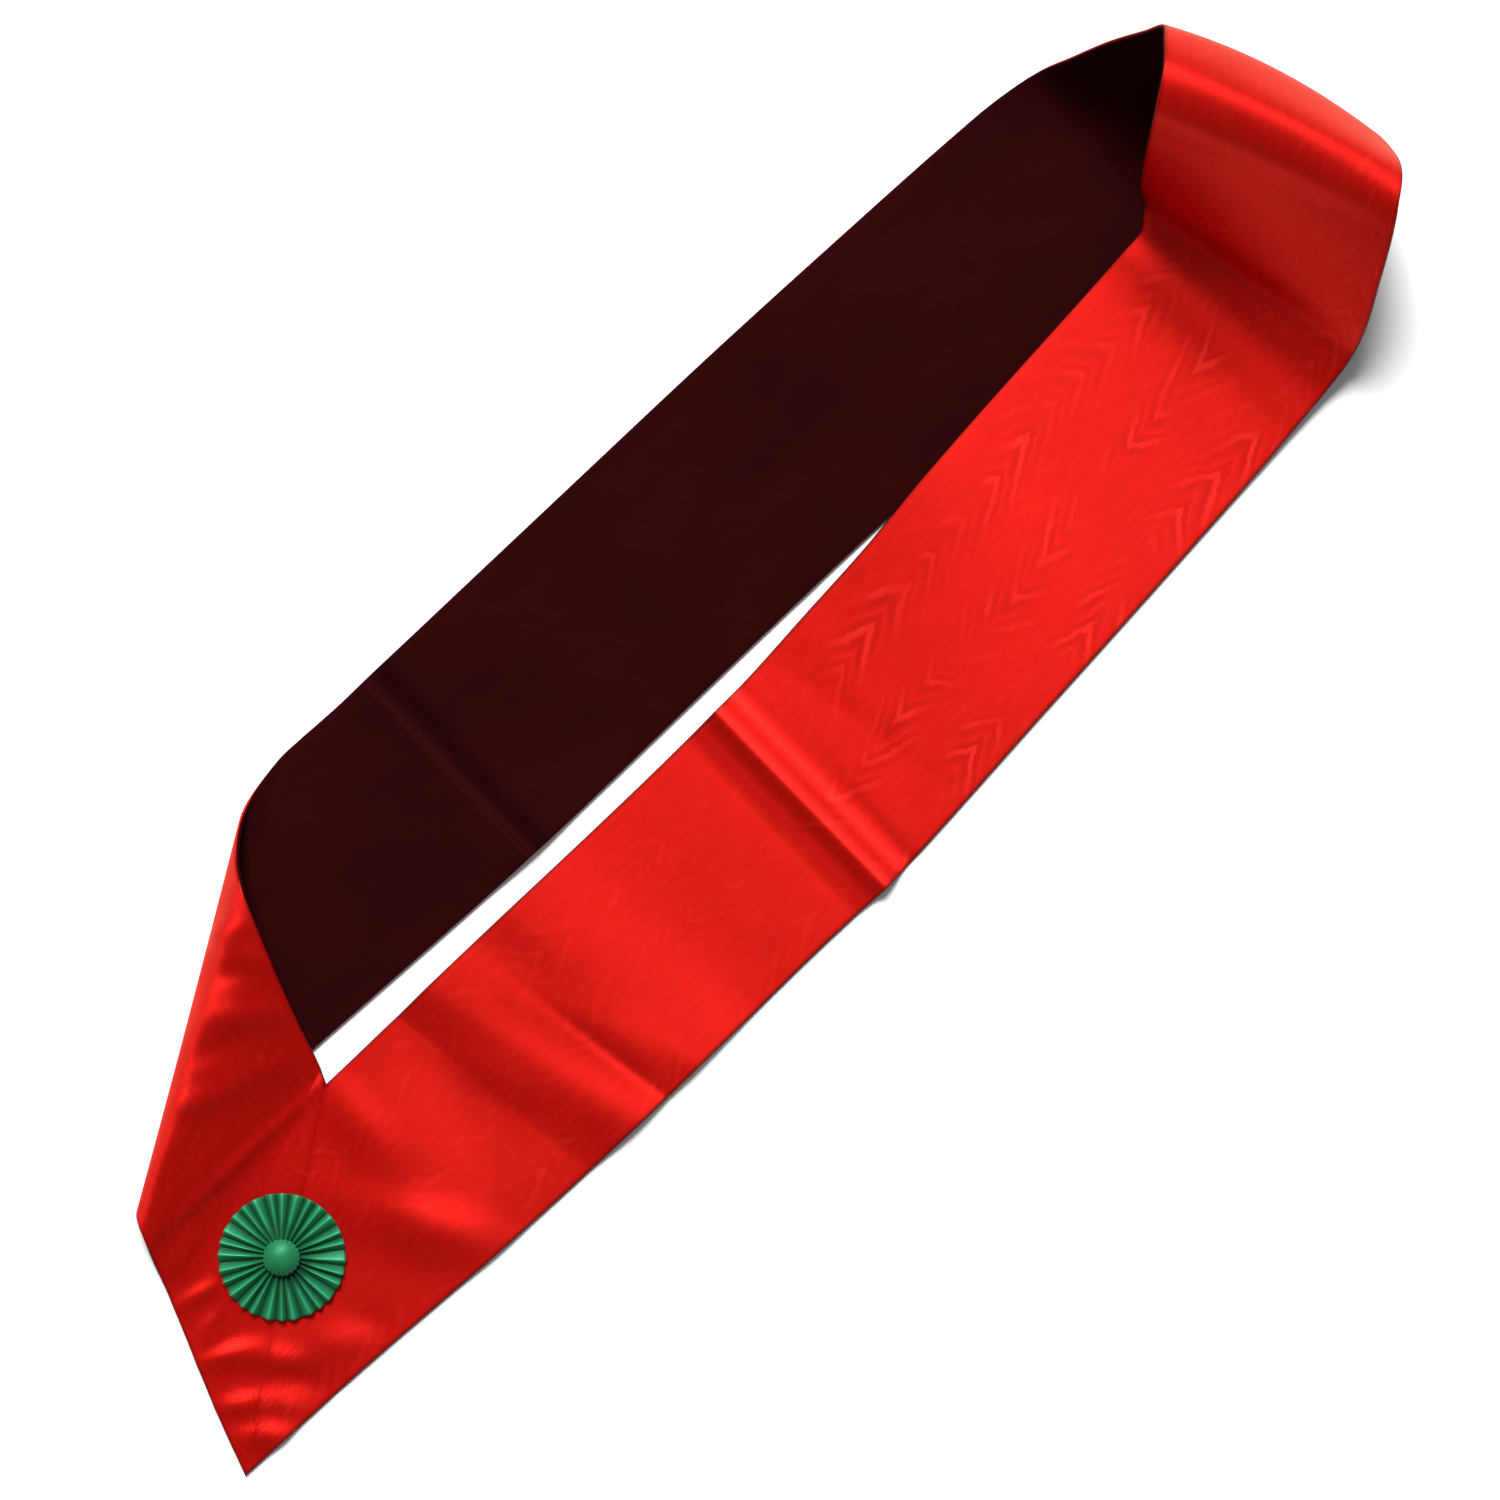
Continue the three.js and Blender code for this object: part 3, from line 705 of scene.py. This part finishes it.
def buildCloth(name, low, high, inset, frontColumns, backColumns, material):
    # the outline of the cloth carried along the loop: surface + facing times (folds - seam groove + lift)
    # + the way across times the stand of the round edge
    place = facetPlaces()
    sectionAcross, sectionLift, edgeShift = clothOutline(low, high, inset, frontColumns, backColumns)
    columnsAcross, columnOf = np.unique(sectionAcross.round(9), return_inverse=True)
    base = clothSurface(place, columnsAcross)
    relief = reliefOnCloth(place, base)
    run = np.gradient(base, axis=0)
    across = np.gradient(base, axis=1)
    facing = np.cross(run, across)
    facing /= np.linalg.norm(facing, axis=2, keepdims=True)
    atEnds = facing[0] + facing[-1]             # the two ends meet at the seam
    facing[0] = facing[-1] = atEnds / np.linalg.norm(atEnds, axis=1)[:, None]
    across /= np.linalg.norm(across, axis=2, keepdims=True)
    base = base + facing * relief[..., None]
    if high > 0:                                # the seam shows in the silk alone
        base = base - facing * seamGroove(place, base, columnsAcross)[..., None]
    points = (base[:, columnOf] + facing[:, columnOf] * sectionLift[None, :, None]
              + across[:, columnOf] * edgeShift[None, :, None])
    points[..., 2] = np.maximum(points[..., 2], cloth["lowest"])

    clothMap, ends = mapOfCloth(place, sectionAcross, edgeShift)
    rows, around = len(place) - 1, len(sectionAcross)
    quads, i, k = shellFaces(rows, around)
    mapRows = cornerMap(lambda row, column: clothMap[row, column], i, k, i + 1, (k + 1) % around)
    return meshObject(name, points[:rows].reshape(-1, 3), quads, mapRows, material), ends


silk, silkEnds = buildCloth("silkRibbon", *cloth["silk"], cloth["silkInset"], cloth["columns"],
                            cloth["backColumns"], silkMaterial)
lining = buildCloth("darkLining", *cloth["lining"], 0.0, cloth["backColumns"],
                    cloth["columns"], liningMaterial)[0]
print("cloth built", len(silk.data.polygons) * 2, len(lining.data.polygons) * 2, "triangles, edges mm",
      silkEnds.round(0))

lengths = ("front", "lap", "roll", "back", "turn")
middleLength = float(np.mean(silkEnds) - cloth["innerStart"] / 2) * mm
for piece, kind, slot in ((silk, "silk", "red_moire_silk"), (lining, "lining", "dark_lining")):
    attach(piece, "root")
    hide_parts(*[kind + "_" + length for length in lengths])


# floor and light

stage = {"floor": 9.0, "color": (0.94, 0.94, 0.94, 1), "roughness": 0.9, "specular": 0.1}

floorMaterial = newMaterial("paleTable", **{
    "Base Color": stage["color"], "Roughness": stage["roughness"],
    "Specular IOR Level": stage["specular"]})[0]
bpy.ops.mesh.primitive_plane_add(size=stage["floor"], location=(0, 0, 0))
floor = bpy.context.object
floor.name = "paleTable"
floor.data.materials.append(floorMaterial)


# rosette: ribbon pleated round a disc

rosette = {
    "radius": 28.8, "hole": 4.4, "pleats": 28, "facets": 22, "rings": 26, "ringBias": 0.9,
    "seat": 2.6, "wall": 0.75, "rise": 3.1, "riseAtHole": 1.2,
    "shoulder": 12.0,          # the pleats have their full depth this far out from the hole
    "skew": 0.10, "uneven": 0.14, "seed": 7, "shift": 0.10, "shiftTurn": 2.3,
    "rimWidth": 2.5, "rimDrop": 0.175, "valleyPull": 0.012,
    "mapLength": 8.8,          # ribbon in one pleat, for the map
    # painted light and shade on the pleats: a power that widens the painted highlights on the crests, the
    # even painted shade near the hole, and the painted shade under the pleats
    "crestTone": 0.85, "holeShade": 0.34, "underShade": 0.3,
    # a painted shadow of the button on the pleats: its side, its distance from the middle, its half width
    # and its depth
    "shadowSide": math.radians(-90.0), "shadowAt": 9.8, "shadowHalf": 4.0, "shadowShare": 0.95,     # dark patch
}


def buildPleats(spec):
    # height = rise(r) times a triangle wave w of the pleat turn, rounded as w^1.15 (1.06 - 0.06 w^8); the
    # ridge leans with the skew, and the turn is pushed to and fro a little from pleat to pleat; rise grows
    # from riseAtHole by the power 0.8 of the way from the hole to the shoulder, and drops at the rim
    chance = np.random.default_rng(spec["seed"])
    lean = chance.uniform(-1, 1, spec["pleats"])
    tall = 1 + spec["uneven"] * chance.uniform(-1, 0.4, spec["pleats"])
    turn = np.arange(spec["pleats"] * spec["facets"]) / spec["facets"]
    spread = np.linspace(0, 1, spec["rings"]) ** spec["ringBias"]
    r = spec["hole"] + (spec["radius"] - spec["hole"]) * spread
    which = np.floor(turn).astype(int) % spec["pleats"]
    part = turn - np.floor(turn)
    peak = 0.5 + spec["skew"] * lean[which]
    wave = np.where(part < peak, part / peak, (1 - part) / (1 - peak))
    wave = wave ** 1.15 * (1.06 - 0.06 * wave ** 8)
    angle = (turn + spec["shift"] * np.sin(turn * spec["shiftTurn"])) / spec["pleats"] * math.tau
    growth = np.clip((r - spec["hole"]) / spec["shoulder"], 0, 1)
    rise = spec["riseAtHole"] + (spec["rise"] - spec["riseAtHole"]) * growth ** 0.8
    drop = spec["rimDrop"] * np.clip((r - spec["radius"] + spec["rimWidth"]) / spec["rimWidth"], 0, 1) ** 2
    height = (rise[:, None] * wave[None] * tall[which][None]) * (1 - drop[:, None])
    reach = r[:, None] * (1 - spec["valleyPull"] * (1 - wave[None]) * growth[:, None])
    top = np.stack([reach * np.cos(angle), reach * np.sin(angle), height + spec["seat"] + spec["wall"]], -1)
    bottom = top - np.array([0, 0, spec["wall"]])
    section = np.concatenate([top, bottom[::-1]], 0)          # out over the top, back underneath
    section[..., :2] += rosetteCentre
    rows, around = section.shape[:2]
    quads, i, k = shellFaces(rows, around)
    radiusOf = np.concatenate([r, r[::-1]])
    lengthOf = np.arange(around + 1) / spec["facets"] * spec["mapLength"]

    def mapAt(row, column):
        return np.stack(np.broadcast_arrays(lengthOf[column], radiusOf[row]), -1) * mm

    mapRows = cornerMap(mapAt, i, k, (i + 1) % rows, k + 1)
    made = meshObject("rosettePleats", section.reshape(-1, 3), quads, mapRows, pleatMaterial)
    # painted light and shade: lighter on the crests and darker in the folds of the wave towards the rim, an
    # even painted shade towards the hole, and a painted shadow of the button on one side of it
    grown = (growth ** 1.3)[:, None]
    towardShadow = np.maximum(np.cos(angle - spec["shadowSide"]), 0)[None] ** 1.2
    buttonShadow = np.exp(-((r - spec["shadowAt"]) / spec["shadowHalf"]) ** 2)[:, None] * towardShadow
    face = wave[None] ** spec["crestTone"] * grown + spec["holeShade"] * (1 - grown)
    face = face * (1 - spec["shadowShare"] * buttonShadow)
    # the underside of the pleats gets painted shade
    paintLightAndShade(made, np.concatenate([face, face[::-1] * spec["underShade"]], 0))
    return made


pleats = buildPleats(rosette)
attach(pleats, "root")
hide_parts("rosette_pleats")


# covered button in the middle of the rosette

button = {
    "radius": 8.2, "seat": 5.5, "side": 1.5, "height": 5.4, "roundness": 2.4, "around": 110, "rings": 30,
    "footRadius": (1.0, 0.985, 0.95, 0.6, 0.0),     # shares of the radius, down the side and under the back
    "footHeight": (0.8, 0.25, 0.0, 0.0, 0.0),
    # tone is the cloth's colour between the painted fold shade and the painted crest highlight; the gathers
    # get a painted highlight where they stand out and painted shade where they fall in
    "gathers": 22, "gatherDepth": 0.16, "gatherFrom": 0.7, "tone": 0.62, "gatherLight": 0.10,
}


def buildButton(spec):
    # a dome, height = side + (height - side) times (1 - (r / radius)^roundness), small gathers near its
    # foot, a rounded side, and a flat back
    t = np.linspace(0, 1, spec["rings"])
    r = spec["radius"] * np.sin(t * math.pi / 2)
    z = spec["side"] + (spec["height"] - spec["side"]) * (1 - (r / spec["radius"]) ** spec["roundness"])
    r = np.concatenate([r, spec["radius"] * np.array(spec["footRadius"])])
    z = np.concatenate([z, np.array(spec["footHeight"])])
    angle = np.arange(spec["around"]) / spec["around"] * math.tau
    near = np.clip((r / spec["radius"] - spec["gatherFrom"]) / (1 - spec["gatherFrom"]), 0, 1) * (z > 0.1)
    gather = near[:, None] * np.cos(angle * spec["gathers"])[None]
    radius = r[:, None] + spec["gatherDepth"] * gather
    points = np.stack([radius * np.cos(angle) + rosetteCentre[0], radius * np.sin(angle) + rosetteCentre[1],
                       np.broadcast_to(z[:, None], radius.shape) + spec["seat"]], -1)
    rows = len(points)
    quads, i, k = shellFaces(rows, spec["around"])
    quads, i = quads[: (rows - 1) * spec["around"]], i[:-1]      # its last ring isn't joined to its first

    def mapAt(row, column):
        turn = column / spec["around"] * math.tau
        return np.stack(np.broadcast_arrays(r[row] * np.cos(turn), r[row] * np.sin(turn)), -1) * mm

    mapRows = cornerMap(mapAt, i, k, i + 1, k + 1)
    made = meshObject("rosetteButton", points.reshape(-1, 3), quads, mapRows, buttonMaterial)
    # painted light where the gathers stand out and painted shade where they fall in, round an even tone
    paintLightAndShade(made, spec["tone"] + spec["gatherLight"] * gather)
    return made


buttonPiece = buildButton(button)
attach(buttonPiece, "root")
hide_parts("rosette_button")
print("rosette built")


# soft studio light: one large lamp over the head of the picture, and pale air all round

studio = {
    "lampPlace": (3100.0, 4000.0, 5650.0), "lampAim": (420.0, 90.0, 0.0),
    "lampSize": 3.3, "lampWatts": 875.0, "air": 0.24,
}

lampData = bpy.data.lights.new("keyLamp", "AREA")
lampData.shape, lampData.size, lampData.energy = "DISK", studio["lampSize"], studio["lampWatts"]
lamp = bpy.data.objects.new("keyLamp", lampData)
bpy.context.scene.collection.objects.link(lamp)
lamp.location = tableToRow(studio["lampPlace"])
aim = tableToRow(studio["lampAim"]) - tableToRow(studio["lampPlace"])
lamp.rotation_euler = Vector(aim).to_track_quat("-Z", "Y").to_euler()

world = bpy.data.worlds.new("paleAir")
world.use_nodes = True
air = world.node_tree.nodes["Background"]
air.inputs["Color"].default_value = (1, 1, 1, 1)
air.inputs["Strength"].default_value = studio["air"]
bpy.context.scene.world = world
bpy.context.scene.view_settings.view_transform = "Standard"
print("light set")
